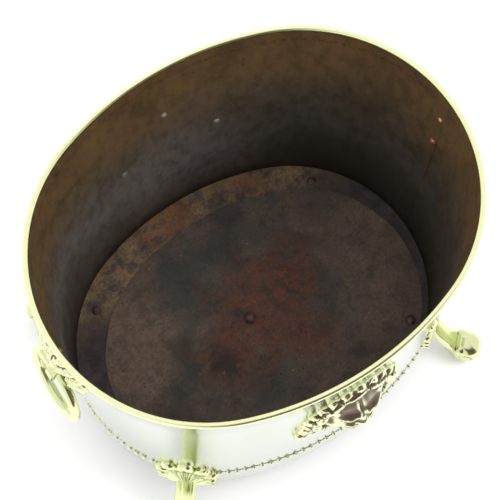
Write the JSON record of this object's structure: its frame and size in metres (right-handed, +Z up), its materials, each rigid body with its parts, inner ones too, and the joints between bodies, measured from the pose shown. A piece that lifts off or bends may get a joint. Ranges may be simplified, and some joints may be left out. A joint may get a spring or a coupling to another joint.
{
  "type": "wastebasket",
  "caption": "Oval brass wastebasket with a rolled rim, beaded strip, lion masks, swinging drop rings and scrolled leaf feet.",
  "frame": {"origin": "on the ground, under the middle of the bin", "axes": "+X along the bin's length towards the right-hand ring, -Y towards the front mask, +Z up"},
  "size_m": [0.3372, 0.2826, 0.268],
  "materials": {
    "brass_polished": "mirror-polished, pale yellow, with fine scratches",
    "brass_patina": "dark brown and olive patina with rust-red stains",
    "brass_cast": "polished cast brass, dark in its recesses",
    "copper": "dull reddish copper rivets and screws",
    "liner_sheet": "worn, stained and pitted sheet",
    "iron": "dull iron wire"
  },
  "bodies": {
    "bin": {"wall_shell": "brass_polished", "rim_wire": "iron", "beaded_band": "brass_polished", "floor_pan": "brass_patina", "floor_liner": "liner_sheet", "centre_rivet": "copper", "foot_front_left": "brass_cast", "foot_front_right": "brass_cast", "foot_back_left": "brass_cast", "foot_back_right": "brass_cast", "foot_screws": "copper", "ornament_front": "brass_cast", "ornament_back": "brass_cast", "ornament_rivets": "copper", "handle_mask_left": "brass_cast", "handle_mask_right": "brass_cast", "handle_rivets": "copper", "ring_eye_left": "brass_cast", "ring_eye_right": "brass_cast"},
    "left_ring": {"ring_left": "brass_polished"},
    "right_ring": {"ring_right": "brass_polished"}
  },
  "joints": [
    {"name": "left_ring_swing", "type": "hinge", "parent": "bin", "child": "left_ring", "pos_m": [-0.15701, 0, 0.202], "axis": [0, 1, 0], "range_deg": [0, 110]},
    {"name": "right_ring_swing", "type": "hinge", "parent": "bin", "child": "right_ring", "pos_m": [0.15701, 0, 0.202], "axis": [0, -1, 0], "range_deg": [0, 110]}
  ]
}
